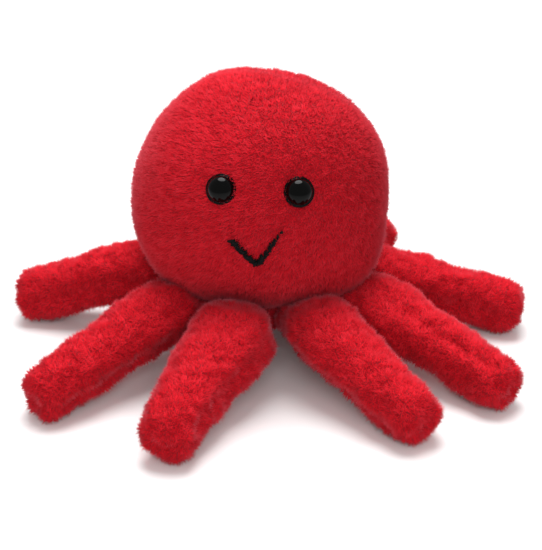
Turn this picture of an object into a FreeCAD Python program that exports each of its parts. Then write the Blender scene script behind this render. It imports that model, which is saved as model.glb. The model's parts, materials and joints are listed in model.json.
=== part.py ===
import FreeCAD, Part
import math
import os

from FreeCAD import Vector

# A small plush octopus: a round stuffed head on eight stuffed arms. Millimetres, +Z up.
# The origin is on the table, under the middle of the footprint, and -Y is where the face looks.

# Fleece and stuffing
FLEECE = 1.2  # backing and pressed pile together
FILL_GAP = 0.1  # between a cover and the stuffing in it

# Head: an oval of revolution, drawn with tangent arcs
HEAD_HALF_WIDTH = 32.2
HEAD_HALF_HEIGHT = 29.5
HEAD_SIDE_FULLNESS = 1.025  # the side's roundness against that of a true ellipse
SEAM_BEHIND_MIDDLE = 3.0  # the seam over the top lies this far behind the middle

# Base panel: a shallow cup under the head, with the arms sewn around it
BASE_RADIUS = 13.9
BASE_WALL = 8.6
BASE_CORNER = 3.0
BASE_INSET = 0.3  # from the rim of the head's opening in to the cup's wall
BELLY_HEIGHT = 7.0  # the flat underside's height above the table

# Arms
ROOT_RADIUS = 4.9  # where the arm is gathered
ROOT_GAP_BASE = 0.7  # between the gathered end and the base panel
ROOT_GAP_HEAD = 0.5  # between the gathered end and the head
BEND_DISTANCE = 11.0  # from the gathered end to the bend
BEND_RISE = 2.3
BEND_GAP_HEAD = 1.0  # the least room between the bend and the head
BEND_GAP = 0.3  # between the two halves of the bend
TIP_FLAT = 0.3  # how much of the round tip the table flattens
FIRST_BEARING = -15.0  # of the first arm, from -Y towards +X
# name, heading of the arm, length from gathered end to tip centre, radius at the bend and at the tip
ARMS = [
    ("front_left", -18.0, 46.5, 8.4, 7.2),
    ("left_front", -46.0, 47.5, 7.6, 7.1),
    ("left_rear", -96.0, 42.0, 7.3, 7.0),
    ("rear_left", -158.0, 44.0, 7.4, 7.0),
    ("rear_right", 137.0, 40.0, 7.4, 7.0),
    ("right_rear", 80.0, 48.0, 7.1, 6.9),
    ("right_front", 47.0, 51.0, 6.9, 6.7),
    ("front_right", 33.5, 45.0, 7.7, 7.2),
]

# Safety eyes: a dome on a flange, with a shank and a lock washer inside the head
EYES = {"left": (-19.0, 23.2), "right": (17.2, 22.0)}  # bearing and slope of the surface, degrees
DOME_RADIUS = 3.2
DOME_HEIGHT = 2.5
FLANGE_RADIUS = 3.75
FLANGE_THICKNESS = 0.8
SHANK_RADIUS = 1.5
SHANK_LENGTH = 9.0
SHANK_CLEARANCE = 0.1
WASHER_RADIUS = 4.2
WASHER_THICKNESS = 1.2
WASHER_CLEARANCE = 0.2

# Mouth: three straight satin stitches, each from one place to the other, with a radius at each end
MOUTH = [
    ((-13.0, -1.3), (-2.1, -14.8), 0.95, 1.0),
    ((-2.1, -14.8), (7.2, 0.9), 1.0, 0.6),
    ((8.0, 2.3), (8.5, 3.3), 0.55, 0.55),
]
MOUTH_STAND = 0.4  # of the stitches' middle above the fleece

# Hand stitches
THREAD_RADIUS = 0.28
CLOSING_STITCHES = 10
CLOSING_LOWEST = -24.0  # slope of the surface at the lowest closing stitch, degrees
CLOSING_STEP = 4.6
CLOSING_REACH = 2.3  # degrees to each side of the seam
BASE_STITCH_SPREAD = 5.5  # degrees between stitches in one gap between arms
BASE_STITCH_REACH = 1.4

# Worked out from the sizes above
HEAD_SIDE_RADIUS = HEAD_SIDE_FULLNESS * HEAD_HALF_HEIGHT**2 / HEAD_HALF_WIDTH
CROWN_RADIUS = (
    (HEAD_HALF_WIDTH - HEAD_SIDE_RADIUS) ** 2 + HEAD_HALF_HEIGHT**2 - HEAD_SIDE_RADIUS**2
) / (2 * (HEAD_HALF_HEIGHT - HEAD_SIDE_RADIUS))
CROWN_DROP = CROWN_RADIUS - HEAD_HALF_HEIGHT  # from the head's centre to the crown arc's
SIDE_SHIFT = HEAD_HALF_WIDTH - HEAD_SIDE_RADIUS
MEET_ANGLE = math.atan(CROWN_DROP / SIDE_SHIFT)  # where side and crown arcs meet
RIM_RADIUS = BASE_RADIUS + BASE_INSET
RIM_DEPTH = math.sqrt(CROWN_RADIUS**2 - RIM_RADIUS**2) - CROWN_DROP  # rim below the head's centre
RIM_HEIGHT = BELLY_HEIGHT + BASE_WALL
HEAD_HEIGHT = RIM_HEIGHT + RIM_DEPTH
BELLY_ARC_HEIGHT = HEAD_HEIGHT + CROWN_DROP
RING_RADIUS = BASE_RADIUS + ROOT_GAP_BASE + ROOT_RADIUS
ROOT_HEIGHT = BELLY_ARC_HEIGHT - math.sqrt(
    (CROWN_RADIUS + ROOT_RADIUS + ROOT_GAP_HEAD) ** 2 - RING_RADIUS**2
)
ARM_STEP = 360.0 / len(ARMS)


def compass(degrees):
    """The level direction at this bearing from -Y towards +X."""
    turn = math.radians(degrees)
    return Vector(math.sin(turn), -math.cos(turn), 0)


def ring_point(index):
    """Where an arm is gathered, seen from above, with the head's middle at zero."""
    return compass(FIRST_BEARING - index * ARM_STEP) * RING_RADIUS


def footprint_middle():
    """The middle of the box around the arm tips, with the head's middle at zero."""
    lows = []
    highs = []
    for index, (_, heading, length, _, tip_radius) in enumerate(ARMS):
        tip = ring_point(index) + compass(heading) * length
        reach = Vector(tip_radius, tip_radius, 0)
        lows.append(tip - reach)
        highs.append(tip + reach)
    low = Vector(min(p.x for p in lows), min(p.y for p in lows), 0)
    high = Vector(max(p.x for p in highs), max(p.y for p in highs), 0)
    return (low + high) * 0.5


HEAD_PLACE = footprint_middle() * -1
HEAD_CENTRE = HEAD_PLACE + Vector(0, 0, HEAD_HEIGHT)


def bend_height(root, heading, bend_radius):
    """The arm rises to its bend, but no higher than the head's underside leaves room for."""
    bend = root + compass(heading) * BEND_DISTANCE
    away = CROWN_RADIUS + bend_radius + BEND_GAP_HEAD
    highest = BELLY_ARC_HEIGHT - math.sqrt(max(away**2 - bend.Length**2, 0))
    return min(ROOT_HEIGHT + BEND_RISE, highest)


def arm_points(index):
    """Centres of the gathered end, the bend and the tip."""
    _, heading, length, bend_radius, tip_radius = ARMS[index]
    root = ring_point(index)
    ahead = compass(heading)
    bend_up = Vector(0, 0, bend_height(root, heading, bend_radius))
    tip_up = Vector(0, 0, tip_radius - TIP_FLAT)
    return (
        HEAD_PLACE + root + Vector(0, 0, ROOT_HEIGHT),
        HEAD_PLACE + root + ahead * BEND_DISTANCE + bend_up,
        HEAD_PLACE + root + ahead * length + tip_up,
    )


def arc_edge(centre, radius, start, end):
    """An arc in the XZ plane about a centre, between two angles in radians."""
    angles = (start, (start + end) / 2, end)
    places = [centre + Vector(math.cos(a), 0, math.sin(a)) * radius for a in angles]
    return Part.Arc(*places).toShape()


def line_edge(start, end):
    return Part.LineSegment(start, end).toShape()


def turned(edges, axis, angle=360):
    """The solid that a closed outline in the XZ plane sweeps about an axis through zero."""
    face = Part.Face(Part.Wire(Part.__sortEdges__(edges)))
    return face.revolve(Vector(0, 0, 0), axis, angle)


def capsule_outline(length, start_radius, end_radius):
    """Arc, line and arc along local X: two balls joined by the cone that touches both."""
    lean = math.asin((start_radius - end_radius) / length)
    touch = math.pi / 2 - lean
    start = Vector(0, 0, 0)
    end = Vector(length, 0, 0)
    side = Vector(math.cos(touch), 0, math.sin(touch))
    return [
        arc_edge(start, start_radius, math.pi, touch),
        line_edge(start + side * start_radius, end + side * end_radius),
        arc_edge(end, end_radius, touch, 0),
    ]


def along(shape, start, end):
    """Moves a shape made along local X to run from start towards end, with its side level."""
    ahead = (end - start).normalize()
    side = Vector(0, 0, 1).cross(ahead).normalize()
    up = ahead.cross(side)
    moved = shape.copy()
    laid = FreeCAD.Placement(start, FreeCAD.Rotation(ahead, side, up, "XZY"))
    moved.Placement = laid.multiply(shape.Placement)
    return moved


def capsule(start, end, start_radius, end_radius):
    length = (end - start).Length
    edges = capsule_outline(length, start_radius, end_radius)
    edges.append(line_edge(Vector(-start_radius, 0, 0), Vector(length + end_radius, 0, 0)))
    return along(turned(edges, Vector(1, 0, 0)), start, end)


def capsule_cover(start, end, start_radius, end_radius, first=0, angle=360):
    """A fleece wall around a capsule, turned through an angle from a first one."""
    length = (end - start).Length
    edges = capsule_outline(length, start_radius, end_radius)
    edges += capsule_outline(length, start_radius - FLEECE, end_radius - FLEECE)
    edges.append(line_edge(Vector(-start_radius, 0, 0), Vector(FLEECE - start_radius, 0, 0)))
    far = length + end_radius
    edges.append(line_edge(Vector(far - FLEECE, 0, 0), Vector(far, 0, 0)))
    wall = turned(edges, Vector(1, 0, 0), angle)
    wall.rotate(Vector(0, 0, 0), Vector(1, 0, 0), first)
    return along(wall, start, end)


def ball(centre, radius):
    return Part.makeSphere(radius, centre)


def head_outline(inset, lowest_radius):
    """The head's side view from its crown round to a radius on its underside, inset by a wall."""
    side_centre = Vector(SIDE_SHIFT, 0, 0)
    crown = CROWN_RADIUS - inset
    side = HEAD_SIDE_RADIUS - inset
    lowest = -math.acos(lowest_radius / crown)
    return [
        arc_edge(Vector(0, 0, -CROWN_DROP), crown, math.pi / 2, MEET_ANGLE),
        arc_edge(side_centre, side, MEET_ANGLE, -MEET_ANGLE),
        arc_edge(Vector(0, 0, CROWN_DROP), crown, -MEET_ANGLE, lowest),
    ]


def head_cover():
    """The whole fleece wall of the head, open at the rim below."""
    inner_crown = CROWN_RADIUS - FLEECE
    inner_rim = math.sqrt(inner_crown**2 - (RIM_DEPTH + CROWN_DROP) ** 2)
    edges = head_outline(0, RIM_RADIUS) + head_outline(FLEECE, inner_rim)
    top = Vector(0, 0, HEAD_HALF_HEIGHT)
    edges.append(line_edge(top - Vector(0, 0, FLEECE), top))
    edges.append(line_edge(Vector(inner_rim, 0, -RIM_DEPTH), Vector(RIM_RADIUS, 0, -RIM_DEPTH)))
    cover = turned(edges, Vector(0, 0, 1))
    cover.translate(HEAD_CENTRE)
    return cover


def half_space(low, high):
    """A box with these corners, measured from the head's centre."""
    size = high - low
    return Part.makeBox(size.x, size.y, size.z, HEAD_CENTRE + low)


def head_panels():
    """Cuts the head's cover along the seam over the top and the centre-back seam."""
    cover = head_cover()
    far = 2 * max(HEAD_HALF_WIDTH, HEAD_HALF_HEIGHT)
    seam = SEAM_BEHIND_MIDDLE
    front = half_space(Vector(-far, -far, -far), Vector(far, seam, far))
    back_left = half_space(Vector(-far, seam, -far), Vector(0, far, far))
    back_right = half_space(Vector(0, seam, -far), Vector(far, far, far))
    return cover.common(front), cover.common(back_left), cover.common(back_right)


def surface_point(bearing, slope, stand=0):
    """A place on or above the head's side, and the way the surface faces there."""
    level = compass(bearing)
    tilt = math.radians(slope)
    facing = level * math.cos(tilt) + Vector(0, 0, math.sin(tilt))
    return HEAD_CENTRE + level * SIDE_SHIFT + facing * (HEAD_SIDE_RADIUS + stand), facing


def upright_at(shape, place, facing):
    """Moves a shape turned about local Z onto a place, with Z the way the surface faces."""
    moved = shape.copy()
    moved.Placement = FreeCAD.Placement(place, FreeCAD.Rotation(Vector(0, 0, 1), facing))
    return moved


def eye(side):
    """Dome, flange and shank in one moulding."""
    front = FLANGE_THICKNESS + DOME_HEIGHT
    dome_bow = (DOME_RADIUS**2 + DOME_HEIGHT**2) / (2 * DOME_HEIGHT)
    dome_centre = Vector(0, 0, front - dome_bow)
    edge_angle = math.asin((dome_bow - DOME_HEIGHT) / dome_bow)
    corners = [
        Vector(0, 0, front),
        Vector(0, 0, -SHANK_LENGTH),
        Vector(SHANK_RADIUS, 0, -SHANK_LENGTH),
        Vector(SHANK_RADIUS, 0, 0),
        Vector(FLANGE_RADIUS, 0, 0),
        Vector(FLANGE_RADIUS, 0, FLANGE_THICKNESS),
        Vector(DOME_RADIUS, 0, FLANGE_THICKNESS),
    ]
    edges = [line_edge(a, b) for a, b in zip(corners, corners[1:])]
    edges.append(arc_edge(dome_centre, dome_bow, edge_angle, math.pi / 2))
    return upright_at(turned(edges, Vector(0, 0, 1)), *surface_point(*EYES[side]))


def washer_depth():
    """How far below the surface a flat washer rests against the curved inside of the cover."""
    inside = HEAD_SIDE_RADIUS - FLEECE
    bow = inside - math.sqrt(inside**2 - WASHER_RADIUS**2)
    return FLEECE + bow + FILL_GAP


def washer(side):
    low = washer_depth() + WASHER_THICKNESS
    ring = Part.makeCylinder(WASHER_RADIUS, WASHER_THICKNESS, Vector(0, 0, -low))
    hole = Part.makeCylinder(SHANK_RADIUS, WASHER_THICKNESS, Vector(0, 0, -low))
    return upright_at(ring.cut(hole), *surface_point(*EYES[side]))


def shank_hole(side, clearance, depth):
    """The room a shank needs, from above the surface down to a depth."""
    above = FLEECE
    hole = Part.makeCylinder(SHANK_RADIUS + clearance, depth + above, Vector(0, 0, -depth))
    return upright_at(hole, *surface_point(*EYES[side]))


def washer_room(side):
    low = washer_depth() + WASHER_THICKNESS + WASHER_CLEARANCE
    room = Part.makeCylinder(WASHER_RADIUS + WASHER_CLEARANCE, low, Vector(0, 0, -low))
    return upright_at(room, *surface_point(*EYES[side]))


def head_stuffing():
    """Fills the head and the cup below it, hollowed for the eyes' shanks and washers."""
    inset = FLEECE + FILL_GAP
    crown = CROWN_RADIUS - inset
    neck = math.sqrt(crown**2 - (RIM_DEPTH + CROWN_DROP) ** 2) - FILL_GAP
    wide = BASE_RADIUS - inset
    neck_top = Vector(neck, 0, CROWN_DROP - math.sqrt(crown**2 - neck**2))
    below_rim = -RIM_DEPTH - FILL_GAP
    bottom = BELLY_HEIGHT + inset - HEAD_HEIGHT
    round_off = BASE_CORNER - FLEECE
    corners = [
        neck_top,
        Vector(neck, 0, below_rim),
        Vector(wide, 0, below_rim),
        Vector(wide, 0, bottom + round_off),
        Vector(wide - round_off, 0, bottom),
        Vector(0, 0, bottom),
        Vector(0, 0, HEAD_HALF_HEIGHT - inset),
    ]
    edges = head_outline(inset, neck) + [line_edge(a, b) for a, b in zip(corners, corners[1:])]
    fill = turned(edges, Vector(0, 0, 1))
    fill.translate(HEAD_CENTRE)
    for side in EYES:
        fill = fill.cut(shank_hole(side, FILL_GAP + SHANK_CLEARANCE, SHANK_LENGTH + FILL_GAP))
        fill = fill.cut(washer_room(side))
    return fill


def base_panel():
    """A cup with a flat underside and a rounded corner, up to the rim of the head's opening."""
    inner = BASE_RADIUS - FLEECE
    turn = BASE_RADIUS - BASE_CORNER
    corner = Vector(turn, 0, BELLY_HEIGHT + BASE_CORNER)
    floor = BELLY_HEIGHT + FLEECE
    edges = [
        arc_edge(corner, BASE_CORNER, -math.pi / 2, 0),
        line_edge(Vector(BASE_RADIUS, 0, corner.z), Vector(BASE_RADIUS, 0, RIM_HEIGHT)),
        line_edge(Vector(BASE_RADIUS, 0, RIM_HEIGHT), Vector(inner, 0, RIM_HEIGHT)),
        line_edge(Vector(inner, 0, RIM_HEIGHT), Vector(inner, 0, corner.z)),
        arc_edge(corner, BASE_CORNER - FLEECE, 0, -math.pi / 2),
        line_edge(Vector(turn, 0, floor), Vector(0, 0, floor)),
        line_edge(Vector(0, 0, floor), Vector(0, 0, BELLY_HEIGHT)),
        line_edge(Vector(0, 0, BELLY_HEIGHT), Vector(turn, 0, BELLY_HEIGHT)),
    ]
    cup = turned(edges, Vector(0, 0, 1))
    cup.translate(HEAD_PLACE)
    return cup


def mouth():
    """Satin stitches laid along the surface, in one embroidered V."""
    strokes = []
    for start, end, start_radius, end_radius in MOUTH:
        first = surface_point(*start, MOUTH_STAND)[0]
        last = surface_point(*end, MOUTH_STAND)[0]
        strokes.append(capsule(first, last, start_radius, end_radius))
    return strokes[0].multiFuse(strokes[1:]).removeSplitter()


def closing_stitches():
    """Ladder stitches across the centre-back seam."""
    stitches = []
    for count in range(CLOSING_STITCHES):
        slope = CLOSING_LOWEST + count * CLOSING_STEP
        left = surface_point(180 - CLOSING_REACH, slope)[0]
        right = surface_point(180 + CLOSING_REACH, slope)[0]
        stitches.append(capsule(left, right, THREAD_RADIUS, THREAD_RADIUS))
    return Part.makeCompound(stitches)


def base_stitches():
    """Overcast stitches from the cup to the head, three in each gap between two arms."""
    stitches = []
    for index in range(len(ARMS)):
        gap_bearing = FIRST_BEARING - (index + 0.5) * ARM_STEP
        for step in (-1, 0, 1):
            level = compass(gap_bearing + step * BASE_STITCH_SPREAD)
            outer = RIM_RADIUS + BASE_STITCH_REACH
            rise = BELLY_ARC_HEIGHT - math.sqrt(CROWN_RADIUS**2 - outer**2)
            low = HEAD_PLACE + level * BASE_RADIUS + Vector(0, 0, RIM_HEIGHT - BASE_STITCH_REACH)
            high = HEAD_PLACE + level * outer + Vector(0, 0, rise)
            stitches.append(capsule(low, high, THREAD_RADIUS, THREAD_RADIUS))
    return Part.makeCompound(stitches)


def arm_nodes(index):
    """The gathered stub before the bend, and the panels and stuffing beyond it.

    The side seams are level, so the upper panel is the half turn from one side over to the other.
    """
    name, _, _, bend_radius, tip_radius = ARMS[index]
    root, bend, tip = arm_points(index)
    inset = FLEECE + FILL_GAP
    socket = ball(bend, bend_radius + BEND_GAP)
    corner = Vector(tip.x - 2 * tip_radius, tip.y - 2 * tip_radius, -tip_radius)
    table = Part.makeBox(4 * tip_radius, 4 * tip_radius, tip_radius, corner)
    under = capsule_cover(bend, tip, bend_radius, tip_radius, first=90, angle=180)
    return {
        name + "_arm_root_cover": capsule_cover(root, bend, ROOT_RADIUS, bend_radius).cut(socket),
        name + "_arm_root_stuffing": capsule(
            root, bend, ROOT_RADIUS - inset, bend_radius - inset
        ).cut(socket),
        name + "_arm_upper_panel": capsule_cover(
            bend, tip, bend_radius, tip_radius, first=-90, angle=180
        ),
        name + "_arm_under_panel": under.cut(table),
        name + "_arm_stuffing": capsule(bend, tip, bend_radius - inset, tip_radius - inset),
    }


def head_nodes():
    face, back_left, back_right = head_panels()
    nodes = {}
    for side in EYES:
        face = face.cut(shank_hole(side, SHANK_CLEARANCE, washer_depth()))
        nodes[side + "_eye"] = eye(side)
        nodes[side + "_eye_washer"] = washer(side)
    nodes["face_panel"] = face
    nodes["back_left_panel"] = back_left
    nodes["back_right_panel"] = back_right
    nodes["base_panel"] = base_panel()
    nodes["head_stuffing"] = head_stuffing()
    nodes["mouth_embroidery"] = mouth()
    nodes["back_closing_stitches"] = closing_stitches()
    nodes["base_seam_stitches"] = base_stitches()
    return nodes


def all_nodes():
    nodes = head_nodes()
    for index in range(len(ARMS)):
        nodes.update(arm_nodes(index))
    return nodes


os.makedirs("parts", exist_ok=True)
for node_name, shape in all_nodes().items():
    shape.exportStep("parts/" + node_name + ".step")
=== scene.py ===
import json
import math

import bmesh
import bpy
import numpy as np
from mathutils import Matrix, Vector, noise


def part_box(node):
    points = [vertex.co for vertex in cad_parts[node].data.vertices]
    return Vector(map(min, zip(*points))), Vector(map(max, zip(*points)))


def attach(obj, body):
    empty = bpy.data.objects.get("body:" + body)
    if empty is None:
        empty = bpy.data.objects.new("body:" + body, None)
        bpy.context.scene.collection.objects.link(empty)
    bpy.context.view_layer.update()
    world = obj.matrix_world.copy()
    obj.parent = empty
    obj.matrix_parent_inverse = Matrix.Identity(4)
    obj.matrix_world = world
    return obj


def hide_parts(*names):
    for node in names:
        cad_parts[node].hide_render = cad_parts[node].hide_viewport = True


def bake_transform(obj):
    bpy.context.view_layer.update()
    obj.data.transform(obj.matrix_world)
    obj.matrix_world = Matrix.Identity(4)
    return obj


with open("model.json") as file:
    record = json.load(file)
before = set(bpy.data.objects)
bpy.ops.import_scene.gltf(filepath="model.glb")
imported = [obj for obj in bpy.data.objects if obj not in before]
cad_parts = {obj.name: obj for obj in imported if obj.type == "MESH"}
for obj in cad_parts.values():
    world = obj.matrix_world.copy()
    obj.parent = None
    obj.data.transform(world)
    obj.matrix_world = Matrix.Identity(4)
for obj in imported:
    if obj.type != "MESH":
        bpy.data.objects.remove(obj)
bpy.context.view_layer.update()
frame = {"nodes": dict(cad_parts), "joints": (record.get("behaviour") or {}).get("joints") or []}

# A small plush octopus toy, dressed over its solids. Metres, +Z up, the face looks along -Y.
MM = 0.001

# Head cover
HEAD_HALF_HEIGHT = 29.5 * MM
HEAD_SIDE_FULLNESS = 1.025
SEAM_BEHIND_MIDDLE = 3.0 * MM
HEAD_SKIN_INSET = 0.25 * MM
HEAD_AROUND = 72
HEAD_ALONG = 48
BASE_CORNER = 3.0 * MM
BASE_WALL = 8.6 * MM

# Arm covers
ARM_NAMES = (
    "front_left", "left_front", "left_rear", "rear_left",
    "rear_right", "right_rear", "right_front", "front_right",
)
ARM_AROUND = 28
ARM_ALONG = 52
ARM_CAP_RINGS = 7
GATHERED_RADIUS = 4.9 * MM

# How the stuffing set each arm: how far it rises and shifts sideways near the head, how far its tip
# sways and draws back, how much its root spreads, and how its side seams are rolled, in degrees
ARM_HABITS = {
    "front_left": (0.4, 1.6, -1.6, 2.4, 0.3, 10),
    "left_front": (0.5, -0.6, 0.4, 1.5, 0.6, -20),
    "left_rear": (2.0, 0.0, 0.0, 0.8, 1.5, 0),
    "rear_left": (1.0, 0.0, 0.0, 0.8, 0.5, 15),
    "rear_right": (2.2, 0.0, 0.0, 0.8, 0.5, -10),
    "right_rear": (0.3, 0.0, 0.5, 0.6, 0.8, 5),
    "right_front": (1.3, 0.6, 1.0, 2.3, 0.6, -60),
    "front_right": (0.6, -1.2, -0.4, 1.8, 0.3, 25),
}
TIP_SLENDER = 0.93

# Fabric
BACKING_THICKNESS = 0.7 * MM
LOWEST_COVER = 0.95 * MM
LUMP_SIZE = 2.3 * MM
LUMP_HEIGHT = 0.8 * MM
SLACK_OVER_STUFFING = 0.15 * MM

# Lumps, creases and grooves: how wide and how deep
HEAD_LUMPS = (15 * MM, 0.5 * MM)
HEAD_RIPPLES = (5 * MM, 0.18 * MM)
EYE_DENT = (5.0 * MM, 0.8 * MM)
HEAD_SEAM = (1.3 * MM, 0.55 * MM)
BACK_SEAM = (1.3 * MM, 0.6 * MM)
ARM_LUMPS = (10 * MM, 0.8 * MM)
ARM_CREASES = (3.2 * MM, 0.6 * MM)
ARM_SEAM_DEPTH = 1.4 * MM
ARM_SEAM_PUCKER = 0.6 * MM
PUCKER_PITCH = 4.4 * MM
TIP_DENT = (2.4 * MM, 1.7 * MM)
TIP_SPOKES = 6
TIP_SPOKE_HEIGHT = 0.4 * MM
TIP_GATHERED = 7 * MM

# Pile
FLATTEST_FIBRE = 0.05 * MM
PILE_SOFTNESS = 0.75
TUFT_LENGTHS = 0.35  # how much tufts differ in length
TUFT_SHADES = 0.65  # how much of a fibre's shade it shares with its tuft
PATCH_SHARE = 0.7  # how much patches, tufts and the place along a fibre each change its colour
PATCH_START = -0.3
SHADE_SHARE = 0.3
# How much the place along a fibre changes its colour: painted shade at the roots, painted light at the
# tips
ROOT_SHADE_TIP_LIGHT = 0.65
HEAD_FIBRES = {
    "density": 12.5e6, "length": 1.35 * MM, "thickness": 0.2 * MM, "stray": 0.42,
    "lean": (0, 0, -0.3), "swirl": (0, 0, 0.6), "tuft": (2.3 * MM, 2.3 * MM, 0.9 * MM), "gather": 0.42,
}
BASE_FIBRES = dict(HEAD_FIBRES, density=9e6, length=1.2 * MM)
ARM_FIBRES = {
    "density": 13.5e6, "length": 1.45 * MM, "thickness": 0.22 * MM, "stray": 0.75,
    "swirl": (0, 0, 0), "tuft": (1.5 * MM, 1.5 * MM, 1.5 * MM), "gather": 0.6,
}
ARM_LEAN = 0.15

# Stuffing pressure on the covers
SIM_SCALE = 10.0
SIM_FRAMES = 20
SIM_PRESSURE = 4.0
SIM_REACH = 0.9 * MM

# Eyes and mouth: bearing and slope in degrees on the head's side
EYES = {"left": (-19.0, 23.2), "right": (17.2, 22.0)}
EYE_DOME_RADIUS = 3.2 * MM
EYE_DOME_HEIGHT = 2.5 * MM
EYE_FLANGE_RADIUS = 3.75 * MM
EYE_FLANGE_EDGE = 0.5 * MM
EYE_SINK = 0.45 * MM
EYE_TURNED_IN = 0.1
EYE_TURNED_UP = 0.06
EYE_SHANK_RADIUS = 1.5 * MM
EYE_SHANK_LENGTH = 9.0 * MM
MOUTH_DENT = 0.6 * MM
MOUTH_DENT_REACH = 1.9 * MM
STITCH_PITCH = 0.55 * MM
STITCH_THREAD = 0.34 * MM
MOUTH_STROKES = (
    ((-12.8, -1.6), (-3.4, -13.6), 0.80 * MM, 1.0 * MM),
    ((-3.2, -14.2), (-0.4, -13.6), 1.10 * MM, 0.95 * MM),
    ((-0.8, -13.2), (7.0, 0.6), 0.98 * MM, 0.40 * MM),
    ((8.0, 2.6), (8.3, 3.0), 0.22 * MM, 0.22 * MM),
)


def frame_joint(name):
    return next(j for j in frame["joints"] if j["name"] == name)


def new_piece(name, mesh, *materials):
    """A piece at the origin, with its place in its mesh."""
    piece = bpy.data.objects.new(name, mesh)
    bpy.context.scene.collection.objects.link(piece)
    for material in materials:
        piece.data.materials.append(material)
    return piece


def mesh_from(bm, name):
    mesh = bpy.data.meshes.new(name)
    bm.normal_update()
    bm.to_mesh(mesh)
    bm.free()
    mesh.polygons.foreach_set("use_smooth", [True] * len(mesh.polygons))
    return mesh


def applied(piece, name=None):
    """The piece with its modifiers made into its mesh."""
    depsgraph = bpy.context.evaluated_depsgraph_get()
    mesh = bpy.data.meshes.new_from_object(piece.evaluated_get(depsgraph))
    mesh.name = name or piece.name
    piece.modifiers.clear()
    piece.data = mesh
    return piece


def smooth_step(low, high, value):
    t = min(max((value - low) / (high - low), 0), 1)
    return t * t * (3 - 2 * t)


# Materials

def add_node(tree, kind, **values):
    node = tree.nodes.new(kind)
    for name, value in values.items():
        setattr(node, name, value)
    return node


def fed(tree, node, inputs):
    """Feeds a node's inputs in turn with sockets or constants, and gives its first output."""
    for socket, value in zip(node.inputs, inputs):
        if isinstance(value, bpy.types.NodeSocket):
            tree.links.new(value, socket)
        else:
            socket.default_value = value
    return node.outputs[0]


def maths(tree, operation, *inputs):
    return fed(tree, add_node(tree, "ShaderNodeMath", operation=operation), inputs)


def vector_math(tree, operation, *inputs):
    return fed(tree, add_node(tree, "ShaderNodeVectorMath", operation=operation), inputs)


def new_material(name):
    material = bpy.data.materials.new(name)
    material.use_nodes = True
    tree = material.node_tree
    shader = next(n for n in tree.nodes if n.type == "BSDF_PRINCIPLED")
    return material, tree, shader


def colour_ramp(tree, stops):
    node = add_node(tree, "ShaderNodeValToRGB")
    elements = node.color_ramp.elements
    while len(elements) < len(stops):
        elements.new(0.5)
    for element, (place, colour) in zip(elements, stops):
        element.position = place
        element.color = (*colour, 1)
    return node


def noise_on_object(tree, scale, detail=2.0, roughness=0.5):
    place = add_node(tree, "ShaderNodeTexCoord")
    texture = add_node(tree, "ShaderNodeTexNoise")
    texture.inputs["Scale"].default_value = scale
    texture.inputs["Detail"].default_value = detail
    texture.inputs["Roughness"].default_value = roughness
    tree.links.new(place.outputs["Object"], texture.inputs["Vector"])
    return texture


def coloured(tree, shader, value, stops, socket="Base Color"):
    """Drives a colour, or another of the shader's sockets, from a value through a ramp."""
    ramp = colour_ramp(tree, stops)
    tree.links.new(value, ramp.inputs["Fac"])
    tree.links.new(ramp.outputs["Color"], shader.inputs[socket])


def raised(tree, shader, texture, distance, strength=1.0):
    """Raises the fine grain of a texture."""
    bump = add_node(tree, "ShaderNodeBump")
    bump.inputs["Strength"].default_value = strength
    bump.inputs["Distance"].default_value = distance
    tree.links.new(texture.outputs["Fac"], bump.inputs["Height"])
    tree.links.new(bump.outputs["Normal"], shader.inputs["Normal"])


def pile_material(name, root, body, tip):
    """Plush pile: painted shade deep between the fibres and painted light towards their tips, uneven from
    tuft to tuft.
    """
    material, tree, shader = new_material(name)
    along = add_node(tree, "ShaderNodeAttribute", attribute_name="along")
    shade = add_node(tree, "ShaderNodeAttribute", attribute_name="shade")
    patches = noise_on_object(tree, 420, 3)
    uneven = maths(tree, "MULTIPLY_ADD", patches.outputs["Fac"], PATCH_SHARE, PATCH_START)
    by_tuft = maths(tree, "MULTIPLY_ADD", shade.outputs["Fac"], SHADE_SHARE, uneven)
    spread = maths(tree, "MULTIPLY_ADD", along.outputs["Fac"], ROOT_SHADE_TIP_LIGHT, by_tuft)
    # The ramp runs from painted shade at the fibres' roots to painted light at their tips
    coloured(tree, shader, spread, [(0.0, root), (0.45, body), (0.95, tip)])
    shader.inputs["Roughness"].default_value = 0.85
    shader.inputs["Specular IOR Level"].default_value = 0.06
    shader.inputs["Sheen Weight"].default_value = 0.4
    shader.inputs["Sheen Roughness"].default_value = 0.4
    shader.inputs["Sheen Tint"].default_value = (1.0, 0.3, 0.37, 1)
    return material


def backing_material():
    """Knitted backing, seen only between the fibres, coloured dark as painted shade for the hollows under
    the pile.
    """
    material, tree, shader = new_material("fleece_backing")
    weave = noise_on_object(tree, 1600, 2)
    stops = [(0.3, (0.22, 0.002, 0.006)), (0.7, (0.42, 0.006, 0.016))]
    coloured(tree, shader, weave.outputs["Fac"], stops)
    raised(tree, shader, weave, 0.2 * MM, 0.6)
    shader.inputs["Roughness"].default_value = 0.9
    return material


def eye_material():
    """Polished black plastic with faint swirls from handling."""
    material, tree, shader = new_material("polished_black_plastic")
    swirls = noise_on_object(tree, 900, 4)
    stops = [(0.3, (0.03, 0.03, 0.03)), (0.8, (0.08, 0.08, 0.08))]
    coloured(tree, shader, swirls.outputs["Fac"], stops, "Roughness")
    shader.inputs["Base Color"].default_value = (0.001, 0.001, 0.001, 1)
    shader.inputs["Specular IOR Level"].default_value = 0.11
    return material


def thread_material(name, dark, light):
    material, tree, shader = new_material(name)
    twist = noise_on_object(tree, 2600, 3)
    coloured(tree, shader, twist.outputs["Fac"], [(0.3, dark), (0.75, light)])
    raised(tree, shader, twist, 0.05 * MM, 0.5)
    shader.inputs["Roughness"].default_value = 0.8
    shader.inputs["Specular IOR Level"].default_value = 0.08
    return material


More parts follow.
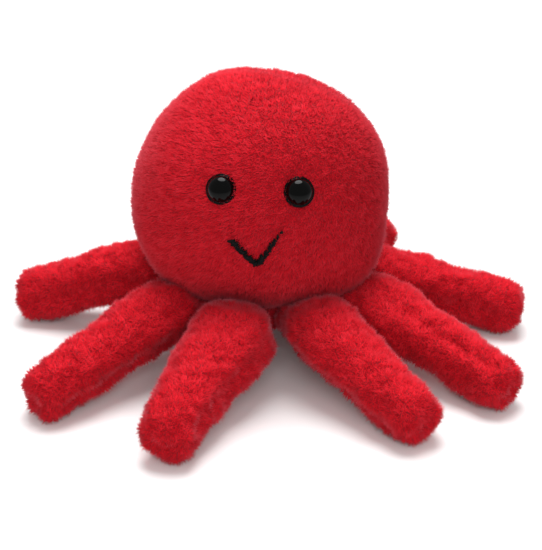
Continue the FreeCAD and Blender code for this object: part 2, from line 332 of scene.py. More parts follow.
def stuffing_material():
    material, tree, shader = new_material("polyester_stuffing")
    fluff = noise_on_object(tree, 700, 6, 0.7)
    coloured(tree, shader, fluff.outputs["Fac"], [(0.3, (0.62, 0.62, 0.60)), (0.7, (0.9, 0.9, 0.89))])
    raised(tree, shader, fluff, 0.6 * MM)
    shader.inputs["Roughness"].default_value = 0.95
    return material


def washer_material():
    material, tree, shader = new_material("moulded_washer_plastic")
    grain = noise_on_object(tree, 1500, 3)
    coloured(tree, shader, grain.outputs["Fac"], [(0.3, (0.7, 0.7, 0.67)), (0.7, (0.82, 0.82, 0.8))])
    shader.inputs["Roughness"].default_value = 0.5
    return material


def floor_material():
    material, _, shader = new_material("pale_floor")
    shader.inputs["Base Color"].default_value = (0.93, 0.93, 0.93, 1)
    shader.inputs["Roughness"].default_value = 0.16
    return material


HEAD_PILE = pile_material(
    "head_plush_pile", (0.38, 0.004, 0.010), (0.68, 0.011, 0.022), (0.82, 0.034, 0.054)
)
# The arms' pile is the head's made a little lighter: painted light on the arms
ARM_PILE = pile_material(
    "arm_plush_pile", (0.40, 0.004, 0.010), (0.72, 0.012, 0.023), (0.86, 0.034, 0.054)
)
BACKING = backing_material()
EYE_PLASTIC = eye_material()
MOUTH_THREAD = thread_material("black_embroidery_floss", (0.002, 0.002, 0.002), (0.012, 0.013, 0.013))
SEWING_THREAD = thread_material("red_sewing_thread", (0.30, 0.006, 0.015), (0.5, 0.02, 0.03))
STUFFING = stuffing_material()
WASHER_PLASTIC = washer_material()


# Where the solids are

def head_middle():
    low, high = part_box("face_panel")
    middle = (low + high) / 2
    base_low, base_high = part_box("base_panel")
    return Vector((middle.x, (base_low.y + base_high.y) / 2, high.z - HEAD_HALF_HEIGHT))


HEAD = head_middle()
HEAD_HALF_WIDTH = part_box("face_panel")[1].x - HEAD.x
SIDE_RADIUS = HEAD_SIDE_FULLNESS * HEAD_HALF_HEIGHT**2 / HEAD_HALF_WIDTH
CROWN_RADIUS = (
    (HEAD_HALF_WIDTH - SIDE_RADIUS) ** 2 + HEAD_HALF_HEIGHT**2 - SIDE_RADIUS**2
) / (2 * (HEAD_HALF_HEIGHT - SIDE_RADIUS))
SIDE_SHIFT = HEAD_HALF_WIDTH - SIDE_RADIUS
CROWN_DROP = CROWN_RADIUS - HEAD_HALF_HEIGHT
MEET_ANGLE = math.atan(CROWN_DROP / SIDE_SHIFT)


def head_reach(direction, inset=0.0):
    """How far the head's oval is from its middle in this direction."""
    level = math.hypot(direction.x, direction.y)
    rise = abs(direction.z)
    side = SIDE_RADIUS - inset
    crown = CROWN_RADIUS - inset
    meet = math.atan2(side * math.sin(MEET_ANGLE), SIDE_SHIFT + side * math.cos(MEET_ANGLE))
    if math.atan2(rise, level) < meet:
        return SIDE_SHIFT * level + math.sqrt(side**2 - (SIDE_SHIFT * rise) ** 2)
    return math.sqrt(crown**2 - (CROWN_DROP * level) ** 2) - CROWN_DROP * rise


def compass(degrees):
    turn = math.radians(degrees)
    return Vector((math.sin(turn), -math.cos(turn), 0))


def head_point(bearing, slope, stand=0.0):
    """A place on or above the head's side, and the way the surface faces there."""
    level = compass(bearing)
    tilt = math.radians(slope)
    facing = level * math.cos(tilt) + Vector((0, 0, math.sin(tilt)))
    return HEAD + level * SIDE_SHIFT + facing * (SIDE_RADIUS + stand), facing


class Arm:
    """An arm's line and fullness, read from its joints and its solids."""

    def __init__(self, name):
        self.name = name
        swing = frame_joint(name + "_arm_swing")
        lift = frame_joint(name + "_arm_lift")
        self.root = Vector(swing["pos_m"])
        self.bend = Vector(lift["pos_m"])
        axis = Vector(lift["axis"])
        self.ahead = Vector((-axis.y, axis.x, 0)).normalized()
        self.side = Vector((0, 0, 1)).cross(self.ahead)
        nodes = (frame["nodes"][name + "_arm_upper_panel"], frame["nodes"][name + "_arm_under_panel"])
        across = [v.co.dot(self.side) for n in nodes for v in n.data.vertices]
        forward = [v.co.dot(self.ahead) for n in nodes for v in n.data.vertices]
        self.bend_radius = max(across) - self.bend.dot(self.side)
        far = max(forward)
        tip_band = [a for f, a in zip(forward, across) if f > far - self.bend_radius]
        self.tip_radius = (max(tip_band) - min(tip_band)) / 2 - 0.05 * MM
        self.tip = self.bend + self.ahead * (far - self.bend.dot(self.ahead) - self.tip_radius)
        self.tip.z = self.tip_radius
        self.stub = (self.bend - self.root).length
        self.length = self.stub + (self.tip - self.bend).length
        self.seed = Vector((self.length, self.bend_radius, self.tip_radius)) * 700
        *habits, roll = ARM_HABITS[name]
        self.rise, self.inner, self.sway, self.broad, self.short = (h * MM for h in habits)
        self.roll = math.radians(roll)
        self.seam_way = self.side * math.cos(self.roll) + Vector((0, 0, math.sin(self.roll)))

    def swell(self, place, centre, spread):
        """A hump along the arm, one at its centre, that fades over a spread."""
        return math.exp(-((place - self.stub - centre) / spread) ** 2)

    def middle(self, place):
        """The arm's centre line, rounded where it bends, arched and swayed by its stuffing."""
        total = Vector()
        for step in (-6, -3, 0, 3, 6):
            s = place + step * MM
            if s < self.stub:
                total += self.root + (self.bend - self.root) * (s / self.stub)
            else:
                share = (s - self.stub) / (self.length - self.stub)
                total += self.bend + (self.tip - self.bend) * share
        near = self.swell(place, 6 * MM, 14 * MM)
        far = smooth_step(self.stub, self.length, place)
        sideways = self.inner * near + self.sway * far
        return total / 5 + Vector((0, 0, self.rise * near)) + self.side * sideways

    def radius(self, place):
        if place < self.stub:
            t = smooth_step(0, self.stub, max(place, 0))
            return GATHERED_RADIUS + (self.bend_radius - GATHERED_RADIUS) * t
        t = (place - self.stub) / (self.length - self.stub)
        return self.bend_radius + (self.tip_radius * TIP_SLENDER - self.bend_radius) * t

    def half_width(self, place):
        return self.radius(place) + self.broad * self.swell(place, 4 * MM, 17 * MM)

    def nearest(self, point):
        """The place on the arm's middle line nearest to a point."""
        along = (point - self.bend).dot((self.tip - self.bend).normalized())
        return self.middle(min(max(along + self.stub, 0), self.length))


ARMS = [Arm(name) for name in ARM_NAMES]


# Covers

def outward(bm):
    """Turns a closed shell so that its faces point outwards."""
    bmesh.ops.recalc_face_normals(bm, faces=bm.faces)
    if bm.calc_volume(signed=True) < 0:
        bmesh.ops.reverse_faces(bm, faces=bm.faces)


def head_cover():
    """The whole head cover as one ball of quads: poles at face and back, middle ring on the seam."""
    bm = bmesh.new()
    bmesh.ops.create_uvsphere(bm, u_segments=HEAD_AROUND, v_segments=HEAD_ALONG, radius=1)
    bmesh.ops.rotate(bm, verts=bm.verts, matrix=Matrix.Rotation(math.pi / 2, 3, "X"))
    for vert in bm.verts:
        level = Vector((vert.co.x, 0, vert.co.z))
        back = math.asin(max(-1, min(1, vert.co.y)))
        seam = SEAM_BEHIND_MIDDLE / HEAD_HALF_HEIGHT
        back += seam * (1 - abs(back) / (math.pi / 2))
        round_seam = level.normalized() if level.length > 1e-6 else Vector((1, 0, 0))
        direction = round_seam * math.cos(back) + Vector((0, math.sin(back), 0))
        vert.co = HEAD + direction * head_reach(direction, HEAD_SKIN_INSET)
    outward(bm)
    return mesh_from(bm, "head_cover")


def towards(x, y, z):
    return Vector((x, y, z)).normalized()


# Where the stuffing pushes the head's cover out (or in): direction, how narrow, how far
HEAD_FULLNESS = (
    (towards(-0.2, 0.0, 1.0), 9.0, 0.9 * MM),
    (towards(0.80, -0.05, 0.60), 16.0, 0.9 * MM),
    (towards(0.45, 0.0, 0.90), 14.0, -0.7 * MM),
    (towards(-0.97, -0.1, -0.25), 9.0, 1.1 * MM),
    (towards(-0.85, -0.05, 0.50), 14.0, -0.6 * MM),
    (towards(0.97, -0.1, -0.20), 16.0, -0.5 * MM),
    (towards(0.72, -0.35, -0.62), 12.0, 4.3 * MM),
    (towards(-0.70, -0.35, -0.65), 12.0, 2.6 * MM),
    (towards(-0.50, 0.0, 0.87), 14.0, 1.3 * MM),
)


def on_stroke(start, end, share):
    """Bearing and slope part of the way along a mouth stroke."""
    return start[0] + (end[0] - start[0]) * share, start[1] + (end[1] - start[1]) * share


def mouth_line():
    """Places along the mouth, for the dent that its stitches pull into the face."""
    for start, end, _, _ in MOUTH_STROKES[:3]:
        for step in range(7):
            yield head_point(*on_stroke(start, end, step / 6))[0]


MOUTH_LINE = list(mouth_line())


def press_near(point, centre, reach, depth):
    """How deep something presses the cover in at this distance from it."""
    return depth * math.exp(-((point - centre).length / reach) ** 2)


def groove(off, width, depth):
    """How deep a seam draws the cover in at this distance off its line."""
    return depth * math.exp(-(off / width) ** 2)


def bumps(place, kind, shift=Vector()):
    """How far the stuffing's bumps of one size stand out at a place."""
    size, height = kind
    return noise.noise(place / size + shift) * height


EYE_PLACES = [head_point(*place)[0] for place in EYES.values()]


def shape_head(point):
    """Uneven stuffing, dents under eyes and mouth, and a groove along the seams."""
    away = (point - HEAD).normalized()
    full = sum(amount * math.exp(-narrow * (1 - away.dot(way))) for way, narrow, amount in HEAD_FULLNESS)
    local = point - HEAD
    lumps = bumps(local, HEAD_LUMPS)
    ripples = bumps(local, HEAD_RIPPLES)
    sunk = sum(press_near(point, eye, *EYE_DENT) for eye in EYE_PLACES)
    sunk += max(press_near(point, stitched, MOUTH_DENT_REACH, MOUTH_DENT) for stitched in MOUTH_LINE)
    seam = groove(local.y - SEAM_BEHIND_MIDDLE, *HEAD_SEAM)
    if local.y > SEAM_BEHIND_MIDDLE:
        seam = max(seam, groove(local.x, *BACK_SEAM))
    return point + away * (full + lumps + ripples - sunk - seam)


def arm_cover(arm):
    """One arm's cover: a ball of quads drawn out along the arm, poles at its two ends."""
    bm = bmesh.new()
    bmesh.ops.create_uvsphere(bm, u_segments=ARM_AROUND, v_segments=ARM_ALONG, radius=1)
    for vert in bm.verts:
        ring = math.acos(max(-1, min(1, vert.co.z))) / math.pi * ARM_ALONG
        turn = math.atan2(vert.co.y, vert.co.x)
        vert.co = arm_place(arm, ring, turn)
    outward(bm)
    return mesh_from(bm, arm.name + "_arm_cover")


def arm_place(arm, ring, turn):
    """Where a ring and a turn round the arm lie, with the turn starting at a seam."""
    reach = arm.length - arm.short
    if ring <= ARM_CAP_RINGS:
        sweep = ring / ARM_CAP_RINGS * math.pi / 2
        place = -GATHERED_RADIUS * math.cos(sweep)
        taper = math.sin(sweep)
    elif ring >= ARM_ALONG - ARM_CAP_RINGS:
        sweep = (ARM_ALONG - ring) / ARM_CAP_RINGS * math.pi / 2
        place = reach + arm.tip_radius * TIP_SLENDER * math.cos(sweep) ** 0.8
        taper = math.sin(sweep) ** 0.75
    else:
        place = reach * (ring - ARM_CAP_RINGS) / (ARM_ALONG - 2 * ARM_CAP_RINGS)
        taper = 1
    step = 1 * MM
    ahead = (arm.middle(place + step) - arm.middle(place - step)).normalized()
    up = ahead.cross(arm.side)
    up = up if up.z > 0 else -up
    inside = min(max(place, 0), arm.length)
    wide = arm.side * math.cos(turn + arm.roll) * arm.half_width(inside)
    high = up * math.sin(turn + arm.roll) * arm.radius(inside)
    return arm.middle(place) + (wide + high) * taper


def shape_arm(arm, point):
    """Lumps of stuffing, seams drawn in along both sides, and a puckered tip."""
    s = (point - arm.bend).dot((arm.tip - arm.bend).normalized())
    nearest = arm.nearest(point)
    away = (point - nearest).normalized()
    lumps = bumps(point, ARM_LUMPS, arm.seed)
    creases = bumps(point, ARM_CREASES, arm.seed)
    end = arm.tip + (arm.tip - arm.bend).normalized() * (arm.tip_radius - arm.short)
    free = smooth_step(0, 8 * MM, (point - arm.root).length)
    seam = smooth_step(0.93, 1.0, abs(away.dot(arm.seam_way))) * free
    pucker = 0.5 + 0.5 * math.sin(s / PUCKER_PITCH * math.pi + arm.seed.x)
    drawn = seam * (ARM_SEAM_DEPTH + ARM_SEAM_PUCKER * pucker) + press_near(point, end, *TIP_DENT)
    round_tip = math.atan2(away.dot(arm.side), away.z)
    spokes = math.sin(TIP_SPOKES * round_tip + arm.seed.y) * TIP_SPOKE_HEIGHT
    gathered = press_near(point, end, TIP_GATHERED, 1.0)
    return point + away * (lumps + creases - drawn + spokes * gathered)


def puff(covers):
    """Blows the covers up a little from inside, as stuffing does, with their seams held."""
    scene = bpy.context.scene
    for cover, held in covers:
        cover.data.transform(Matrix.Scale(SIM_SCALE, 4))
        seam = cover.vertex_groups.new(name="held")
        seam.add(held, 1.0, "REPLACE")
        cloth = cover.modifiers.new("cloth", "CLOTH")
        settings = cloth.settings
        settings.quality = 5
        settings.mass = 0.3
        settings.use_pressure = True
        settings.uniform_pressure_force = SIM_PRESSURE
        settings.effector_weights.gravity = 0
        settings.vertex_group_mass = "held"
        settings.tension_stiffness = 8
        settings.compression_stiffness = 8
        settings.bending_stiffness = 0.4
        cloth.point_cache.frame_start = 1
        cloth.point_cache.frame_end = SIM_FRAMES
    for step in range(1, SIM_FRAMES + 1):
        scene.frame_set(step)
    for cover, _ in covers:
        rest = [v.co.copy() for v in cover.data.vertices]
        applied(cover)
        farthest = SIM_REACH * SIM_SCALE
        for vert, start in zip(cover.data.vertices, rest):
            shift = vert.co - start
            if shift.length > farthest:
                vert.co = start + shift * (farthest / shift.length)
        cover.vertex_groups.clear()
        cover.data.transform(Matrix.Scale(1 / SIM_SCALE, 4))
    scene.frame_set(1)


def subdivided(piece):
    rounder = piece.modifiers.new("rounder", "SUBSURF")
    rounder.levels = rounder.render_levels = 1
    return applied(piece)


def woolly(piece, size, height):
    """Raises and sinks a cover in small lumps, where the fleece stands thicker or thinner."""
    mesh = piece.data
    ways = [vert.normal.copy() for vert in mesh.vertices]
    for vert, way in zip(mesh.vertices, ways):
        vert.co += way * noise.noise(vert.co / size) * height
        vert.co.z = max(vert.co.z, LOWEST_COVER)


def walled(piece):
    """Gives a cover its thickness, inwards."""
    wall = piece.modifiers.new("wall", "SOLIDIFY")
    wall.thickness = BACKING_THICKNESS
    wall.offset = -1
    return applied(piece)


# Pile

def scaled(tree, vector, factor):
    scaling = add_node(tree, "ShaderNodeVectorMath", operation="SCALE")
    tree.links.new(vector, scaling.inputs[0])
    scaling.inputs["Scale"].default_value = factor
    return scaling.outputs[0]


def random_number(tree, low, high, seed):
    chance = add_node(tree, "FunctionNodeRandomValue", data_type="FLOAT")
    least, most = [s for s in chance.inputs if s.name in ("Min", "Max") and s.type == "VALUE"][:2]
    least.default_value = low
    most.default_value = high
    chance.inputs["Seed"].default_value = seed
    return next(s for s in chance.outputs if s.type == "VALUE" and s.enabled)


def stored(tree, geometry, name, value, kind, domain):
    keep = add_node(tree, "GeometryNodeStoreNamedAttribute", data_type=kind, domain=domain)
    keep.inputs["Name"].default_value = name
    tree.links.new(geometry, keep.inputs["Geometry"])
    tree.links.new(value, keep.inputs["Value"])
    return keep.outputs["Geometry"]


def fibre(tree):
    """One fibre, from its root at 0 to its tip at 1, that knows how far along it each point is."""
    cone = add_node(tree, "GeometryNodeMeshCone", fill_type="NGON")
    cone.inputs["Vertices"].default_value = 3
    cone.inputs["Radius Top"].default_value = 0.0
    cone.inputs["Radius Bottom"].default_value = 0.5
    cone.inputs["Depth"].default_value = 1.0
    place = add_node(tree, "GeometryNodeInputPosition")
    height = add_node(tree, "ShaderNodeSeparateXYZ")
    tree.links.new(place.outputs[0], height.inputs[0])
    return stored(tree, cone.outputs["Mesh"], "along", height.outputs["Z"], "FLOAT", "POINT")


def tufts(tree, place, tuft, pull):
    """The way from a root to the middle of its tuft, and a number that each tuft has of its own."""
    squeezed = vector_math(tree, "DIVIDE", place, tuft)
    cells = add_node(tree, "ShaderNodeTexVoronoi")
    cells.inputs["Scale"].default_value = 1.0
    tree.links.new(squeezed, cells.inputs["Vector"])
    middle = vector_math(tree, "MULTIPLY", cells.outputs["Position"], tuft)
    parts = add_node(tree, "ShaderNodeSeparateXYZ")
    tree.links.new(cells.outputs["Color"], parts.inputs[0])
    return scaled(tree, vector_math(tree, "SUBTRACT", middle, place), pull), parts.outputs["X"]


def thinned_below(tree, facing, density):
    """Fewer fibres on what faces the table."""
    parts = add_node(tree, "ShaderNodeSeparateXYZ")
    tree.links.new(facing, parts.inputs[0])
    spread = add_node(tree, "ShaderNodeMapRange")
    spread.inputs["From Min"].default_value = -0.9
    spread.inputs["From Max"].default_value = -0.3
    spread.inputs["To Min"].default_value = density * 0.45
    spread.inputs["To Max"].default_value = density
    tree.links.new(parts.outputs["Z"], spread.inputs["Value"])
    return spread.outputs["Result"]


def pile_tree(density, length, thickness, lean, swirl, tuft, gather, stray, seed):
    """Fibres rooted all over a cover, leaning with the nap, their tips drawn together in tufts."""
    tree = bpy.data.node_groups.new("pile", "GeometryNodeTree")
    tree.interface.new_socket("Geometry", in_out="INPUT", socket_type="NodeSocketGeometry")
    tree.interface.new_socket("Geometry", in_out="OUTPUT", socket_type="NodeSocketGeometry")
    link = tree.links.new
    source = add_node(tree, "NodeGroupInput")
    result = add_node(tree, "NodeGroupOutput")
    normal = add_node(tree, "GeometryNodeInputNormal").outputs[0]
    scatter = add_node(tree, "GeometryNodeDistributePointsOnFaces")
    scatter.inputs["Seed"].default_value = seed
    link(thinned_below(tree, normal, density), scatter.inputs["Density"])
    link(source.outputs[0], scatter.inputs["Mesh"])
    facing = scatter.outputs["Normal"]
    place = add_node(tree, "GeometryNodeInputPosition").outputs[0]

    nap = vector_math(tree, "ADD", vector_math(tree, "CROSS_PRODUCT", facing, swirl), lean)
    stand = vector_math(tree, "ADD", facing, nap)
    pull, tuft_number = tufts(tree, place, tuft, gather / length)
    tufted = vector_math(tree, "ADD", stand, pull)
    astray = add_node(tree, "FunctionNodeRandomValue", data_type="FLOAT_VECTOR")
    astray.inputs["Min"].default_value = (-stray,) * 3
    astray.inputs["Max"].default_value = (stray,) * 3
    astray.inputs["Seed"].default_value = seed + 1
    turn = add_node(tree, "FunctionNodeAlignRotationToVector", axis="Z")
    link(vector_math(tree, "ADD", tufted, astray.outputs[0]), turn.inputs["Vector"])
    size = add_node(tree, "ShaderNodeCombineXYZ")
    size.inputs["X"].default_value = thickness
    size.inputs["Y"].default_value = thickness
    reach = random_number(tree, length * 0.55, length * 1.2, seed + 2)
    tuft_reach = maths(tree, "MULTIPLY_ADD", tuft_number, TUFT_LENGTHS, 1 - TUFT_LENGTHS / 2)
    link(maths(tree, "MULTIPLY", reach, tuft_reach), size.inputs["Z"])

    plant = add_node(tree, "GeometryNodeInstanceOnPoints")
    rooted = stored(tree, scatter.outputs["Points"], "facing", facing, "FLOAT_VECTOR", "POINT")
    chance = maths(tree, "MULTIPLY", random_number(tree, 0.0, 1.0, seed + 3), 1 - TUFT_SHADES)
    shade = maths(tree, "MULTIPLY_ADD", tuft_number, TUFT_SHADES, chance)
    shaded = stored(tree, rooted, "shade", shade, "FLOAT", "POINT")
    link(shaded, plant.inputs["Points"])
    link(fibre(tree), plant.inputs["Instance"])
    link(turn.outputs[0], plant.inputs["Rotation"])
    link(size.outputs[0], plant.inputs["Scale"])
    real = add_node(tree, "GeometryNodeRealizeInstances")
    link(plant.outputs["Instances"], real.inputs["Geometry"])
    link(real.outputs["Geometry"], result.inputs[0])
    return tree


def soften(mesh, share):
    """Lets fibres catch the light mostly as the cover below them does, as dense pile does."""
    count = len(mesh.vertices)
    facing = np.empty(count * 3, np.float32)
    own = np.empty(count * 3, np.float32)
    mesh.attributes["facing"].data.foreach_get("vector", facing)
    mesh.vertices.foreach_get("normal", own)
    mixed = (facing * share + own * (1 - share)).reshape(-1, 3)
    mixed /= np.maximum(np.linalg.norm(mixed, axis=1, keepdims=True), 1e-6)
    mesh.normals_split_custom_set_from_vertices(mixed)
    mesh.attributes.remove(mesh.attributes["facing"])


def rest_on_floor(mesh):
    """Bends the fibres under the toy flat, so that none of them goes through what it sits on."""
    for vert in mesh.vertices:
        if vert.co.z < FLATTEST_FIBRE:
            vert.co.z = FLATTEST_FIBRE


def pile_on(cover, name, material, **kinds):
    """A separate piece of fibres that stand on a cover."""
    piece = new_piece(name, cover.data.copy())
    grow = piece.modifiers.new("pile", "NODES")
    grow.node_group = pile_tree(**kinds)
    applied(piece, name)
    piece.data.materials.clear()
    piece.data.materials.append(material)
    piece.data.polygons.foreach_set("use_smooth", [True] * len(piece.data.polygons))
    soften(piece.data, PILE_SOFTNESS)
    rest_on_floor(piece.data)
    return piece


# Build the covers, press the stuffing into them, then let the pile grow

def seam_verts(mesh, test):
    return [v.index for v in mesh.vertices if test(v.co)]


def on_head_seam(point):
    away = point - HEAD
    over_top = abs(away.y - SEAM_BEHIND_MIDDLE) < 0.7 * MM
    centre_back = abs(away.x) < 0.4 * MM and away.y > SEAM_BEHIND_MIDDLE
    neck = math.hypot(away.x, away.y) < 15 * MM and away.z < 0
    return over_top or centre_back or neck


def arm_seam_test(arm):
    ahead = (arm.tip - arm.bend).normalized()

    def test(point):
        s = (point - arm.bend).dot(ahead) + arm.stub
        away = point - arm.middle(min(max(s, 0), arm.length))
        return abs(away.dot(arm.seam_way)) > 0.985 * away.length or (point - arm.root).length < 6 * MM
    return test


head = new_piece("head_cover", head_cover(), BACKING)
arm_covers = {arm.name: new_piece(arm.name + "_arm_cover", arm_cover(arm), BACKING) for arm in ARMS}
held = [(head, seam_verts(head.data, on_head_seam))]
for arm in ARMS:
    cover = arm_covers[arm.name]
    held.append((cover, seam_verts(cover.data, arm_seam_test(arm))))
puff(held)


def shrunk(piece, name, depth, middle_of):
    """The stuffing that fills a cover: the same shape, drawn in by a depth towards its middle."""
    fill = new_piece(name, piece.data.copy())
    for vert in fill.data.vertices:
        vert.co += (middle_of(vert.co) - vert.co).normalized() * depth
    fill.data.materials.clear()
    fill.data.materials.append(STUFFING)
    return fill


def fill_depth():
    return BACKING_THICKNESS + SLACK_OVER_STUFFING


def head_part(cover, name, wanted):
    """The part of the head's cover that one panel makes."""
    bm = bmesh.new()
    bm.from_mesh(cover.data)
    away = [f for f in bm.faces if not wanted(f.calc_center_median() - HEAD)]
    bmesh.ops.delete(bm, geom=away, context="FACES")
    return new_piece(name, mesh_from(bm, name), BACKING)


def behind_seam(place):
    return place.y >= SEAM_BEHIND_MIDDLE - 0.2 * MM


def above_neck(place):
    return math.hypot(place.x, place.y) > NECK_RADIUS or place.z > 0


NECK_RADIUS = (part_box("base_panel")[1].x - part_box("base_panel")[0].x) / 2 - 1.5 * MM
PANELS = {
    "face_panel": ("face", lambda p: not behind_seam(p)),
    "back_left_panel": ("back_left", lambda p: behind_seam(p) and p.x < 0),
    "back_right_panel": ("back_right", lambda p: behind_seam(p) and p.x >= 0),
}
PILE_FIELDS = {
    "face_left_pile": ("face_panel", lambda p: not behind_seam(p) and p.x < 0),
    "face_right_pile": ("face_panel", lambda p: not behind_seam(p) and p.x >= 0),
    "back_left_pile": ("back_left_panel", lambda p: behind_seam(p) and p.x < 0),
    "back_right_pile": ("back_right_panel", lambda p: behind_seam(p) and p.x >= 0),
}


def on_head(piece, node):
    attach(piece, "head")
    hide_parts(node)


def dress_head():
    for vert in head.data.vertices:
        vert.co = shape_head(vert.co)
    subdivided(head)
    for seed, (name, (node, wanted)) in enumerate(PILE_FIELDS.items()):
        field = head_part(head, name, lambda p: wanted(p) and above_neck(p))
        on_head(pile_on(field, name, HEAD_PILE, seed=10 + 5 * seed, **HEAD_FIBRES), node)
        bpy.data.objects.remove(field)
    for node, (name, wanted) in PANELS.items():
        panel = walled(head_part(head, name + "_cover", lambda p: wanted(p) and above_neck(p)))
        on_head(panel, node)
    fill = shrunk(head, "head_fill", fill_depth() + MOUTH_DENT, lambda place: HEAD)
    on_head(fill, "head_stuffing")
    bpy.data.objects.remove(head)


def dress_arm(arm, seed):
    cover = arm_covers[arm.name]
    for vert in cover.data.vertices:
        vert.co = shape_arm(arm, vert.co)
        vert.co.z = max(vert.co.z, LOWEST_COVER)
    subdivided(cover)
    woolly(cover, LUMP_SIZE, LUMP_HEIGHT)
    lean = tuple((arm.tip - arm.bend).normalized() * ARM_LEAN)
    pile = pile_on(cover, arm.name + "_arm_pile", ARM_PILE, seed=seed, lean=lean, **ARM_FIBRES)
    fill = shrunk(cover, arm.name + "_arm_fill", fill_depth() + LUMP_HEIGHT, arm.nearest)
    walled(cover)
    before = arm.middle(arm.stub - 8 * MM)
    after = arm.middle(arm.stub + 8 * MM)
    whole = arm.name + "_arm"
    for piece in (cover, pile, fill):
        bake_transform(piece)
    for piece in (cover, pile):
        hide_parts(whole + "_root_cover", whole + "_upper_panel", whole + "_under_panel")
    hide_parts(whole + "_root_stuffing", whole + "_stuffing")


def dress_base():
    """The round panel under the head, turned up at its edge to meet the neck."""
    low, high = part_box("base_panel")
    middle = Vector(((low.x + high.x) / 2, (low.y + high.y) / 2, low.z))
    radius = (high.x - low.x) / 2
    profile = [(0, 0), (radius * 0.4, 0), (radius - BASE_CORNER, 0)]
    for turn in (30, 60, 90):
        sweep = math.radians(turn)
        corner = radius - BASE_CORNER
        profile.append((corner + BASE_CORNER * math.sin(sweep), BASE_CORNER * (1 - math.cos(sweep))))
    profile += [(radius, BASE_WALL * 0.6), (radius, BASE_WALL)]
    bm = bmesh.new()
    verts = [bm.verts.new((middle.x + r, middle.y, middle.z + z)) for r, z in profile]
    edges = [bm.edges.new(pair) for pair in zip(verts, verts[1:])]
    bmesh.ops.spin(
        bm, geom=verts + edges, cent=middle, axis=(0, 0, 1), angle=math.tau, steps=48, use_merge=True
    )
    bmesh.ops.remove_doubles(bm, verts=bm.verts, dist=0.01 * MM)
    bmesh.ops.recalc_face_normals(bm, faces=bm.faces)
    lowest = min(bm.faces, key=lambda f: f.calc_center_median().z)
    if lowest.normal.z > 0:
        bmesh.ops.reverse_faces(bm, faces=bm.faces)
    cup = subdivided(new_piece("base_cover", mesh_from(bm, "base_cover"), BACKING))
    on_head(pile_on(cup, "base_pile", HEAD_PILE, seed=90, **BASE_FIBRES), "base_panel")
    walled(cup)
    on_head(cup, "base_panel")


dress_head()
dress_base()
for index, arm in enumerate(ARMS):
    dress_arm(arm, 100 + 10 * index)


# Eyes and mouth

def set_on(mesh, place, facing):
    """Moves a shape turned about local Z onto a place, with Z the way the surface faces."""
    turn = Vector((0, 0, 1)).rotation_difference(facing).to_matrix().to_4x4()
    mesh.transform(Matrix.Translation(place) @ turn)


def eye(side):
    """A moulded eye: dome, rolled flange edge and shank in one."""
    low = -EYE_SINK
    corner = EYE_FLANGE_EDGE / 2
    end = low - EYE_SHANK_LENGTH
    profile = [(0, end), (EYE_SHANK_RADIUS, end), (EYE_SHANK_RADIUS, low)]
    profile.append((EYE_FLANGE_RADIUS - corner, low))
    for turn in (-60, -30, 0, 30, 60, 90):
        sweep = math.radians(turn)
        out = EYE_FLANGE_RADIUS - corner + corner * math.cos(sweep)
        profile.append((out, low + corner + corner * math.sin(sweep)))
    top = low + EYE_FLANGE_EDGE
    profile.append((EYE_DOME_RADIUS + 0.12 * MM, top))
    for turn in range(0, 91, 6):
        sweep = math.radians(turn)
        height = top + 0.1 * MM + EYE_DOME_HEIGHT * math.sin(sweep)
        profile.append((EYE_DOME_RADIUS * math.cos(sweep), height))
    bm = bmesh.new()
    verts = [bm.verts.new((r, 0, z)) for r, z in profile]
    edges = [bm.edges.new(pair) for pair in zip(verts, verts[1:])]
    bmesh.ops.spin(
        bm, geom=verts + edges, cent=(0, 0, 0), axis=(0, 0, 1), angle=math.tau, steps=64, use_merge=True
    )
    bmesh.ops.remove_doubles(bm, verts=bm.verts, dist=0.005 * MM)
    outward(bm)
    mesh = mesh_from(bm, side + "_eye_moulding")
    place, facing = head_point(*EYES[side])
    inward = Vector((math.copysign(EYE_TURNED_IN, -EYES[side][0]), 0, EYE_TURNED_UP))
    set_on(mesh, place, (facing + inward).normalized())
    piece = new_piece(mesh.name, mesh, EYE_PLASTIC)
    on_head(piece, side + "_eye")


def stitch(bm, start, middle, end, thread):
    """One short thread that goes in at start, over middle and back in at end."""
    made = bmesh.ops.create_uvsphere(bm, u_segments=6, v_segments=8, radius=1)["verts"]
    ahead = (end - start).normalized()
    up = (middle - (start + end) / 2).normalized()
    side = ahead.cross(up)
    for vert in made:
        t = (vert.co.z + 1) / 2
        line = start * (1 - t) ** 2 + middle * 2 * t * (1 - t) + end * t * t
        vert.co = line + (side * vert.co.x + up * vert.co.y) * thread


def mouth():
    """Thick satin stitches laid side by side along each stroke, slanted and uneven."""
    bm = bmesh.new()
    for start, end, first, last in MOUTH_STROKES:
        first_place = head_point(*start)[0]
        run = head_point(*end)[0] - first_place
        count = max(1, round(run.length / STITCH_PITCH))
        for step in range(count + 1):
            share = step / count
            bearing, slope = on_stroke(start, end, share)
            place, facing = head_point(bearing, slope)
            place = shape_head(place) + facing * MOUTH_DENT
            across = facing.cross(run).normalized()
            wobble = noise.noise_vector(Vector((bearing, slope, step)) * 1.7)
            half = (first + (last - first) * share) * (1 + 0.7 * wobble.x)
            middle = place + across * wobble.y * 0.35 * MM
            slant = run.normalized() * (0.3 + 0.4 * wobble.z) * MM
            peak = facing * (1.5 + 0.6 * wobble.y) * MM
            foot = facing * 0.25 * MM
            thread = STITCH_THREAD * (1 + 0.3 * wobble.z)
            near = middle - across * half - slant + foot
            far = middle + across * half + slant + foot
            stitch(bm, near, middle + peak, far, thread)
    bmesh.ops.recalc_face_normals(bm, faces=bm.faces)
    piece = new_piece("mouth_stitches", mesh_from(bm, "mouth_stitches"), MOUTH_THREAD)
    on_head(piece, "mouth_embroidery")


for side in EYES:
    eye(side)
mouth()


# Carried-over nodes

def dress(node, material):
    mesh = frame["nodes"][node].data
    mesh.materials.clear()
    mesh.materials.append(material)


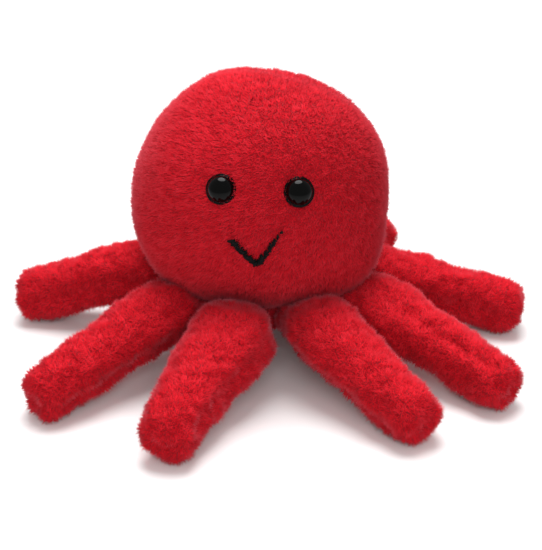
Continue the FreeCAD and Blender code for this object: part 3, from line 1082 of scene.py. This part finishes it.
for node in frame["nodes"]:
    if node.endswith("washer"):
        dress(node, WASHER_PLASTIC)
    elif node.endswith("stitches"):
        dress(node, SEWING_THREAD)
    elif node.endswith("stuffing"):
        dress(node, STUFFING)
    elif node.endswith("eye"):
        dress(node, EYE_PLASTIC)
    elif node == "mouth_embroidery":
        dress(node, MOUTH_THREAD)
    else:
        dress(node, BACKING)


# Floor, light and camera

def floor():
    bm = bmesh.new()
    bmesh.ops.create_grid(bm, x_segments=1, y_segments=1, size=3)
    piece = new_piece("floor", mesh_from(bm, "floor"), floor_material())


def soft_light(name, place, size, power, mirrored=True):
    lamp = bpy.data.lights.new(name, "AREA")
    lamp.shape = "DISK"
    lamp.size = size
    lamp.energy = power
    light = bpy.data.objects.new(name, lamp)
    bpy.context.scene.collection.objects.link(light)
    light.location = place
    light.visible_glossy = mirrored
    light.rotation_mode = "QUATERNION"
    light.rotation_quaternion = (HEAD - Vector(place)).to_track_quat("-Z", "Y")


def white_room(strength):
    world = bpy.data.worlds.new("white_room")
    world.use_nodes = True
    back = next(n for n in world.node_tree.nodes if n.type == "BACKGROUND")
    back.inputs["Color"].default_value = (1, 1, 1, 1)
    back.inputs["Strength"].default_value = strength
    bpy.context.scene.world = world


ROOM_STRENGTH = 0.5
VIEW_PITCH = 22.0
VIEW_DISTANCE = 0.4
AIM_BELOW = 3.245
AIM_RIGHT = 0.37
LENS = 101.6


def camera():
    data = bpy.data.cameras.new("camera")
    data.sensor_width = 36
    data.lens = LENS
    cam = bpy.data.objects.new("camera", data)
    bpy.context.scene.collection.objects.link(cam)
    pitch = math.radians(VIEW_PITCH)
    back = Vector((0, -math.cos(pitch), math.sin(pitch)))
    cam.location = HEAD + back * VIEW_DISTANCE
    cam.rotation_euler = (
        math.pi / 2 - pitch - math.radians(AIM_BELOW), 0, -math.radians(AIM_RIGHT)
    )
    bpy.context.scene.camera = cam


floor()
white_room(ROOM_STRENGTH)
soft_light("top_softbox", (0.0, 0.18, 0.74), size=0.55, power=7.0)
soft_light("front_softbox", (0.08, -0.68, 0.42), size=0.5, power=2.3, mirrored=False)
camera()
bpy.context.scene.view_settings.view_transform = "Standard"
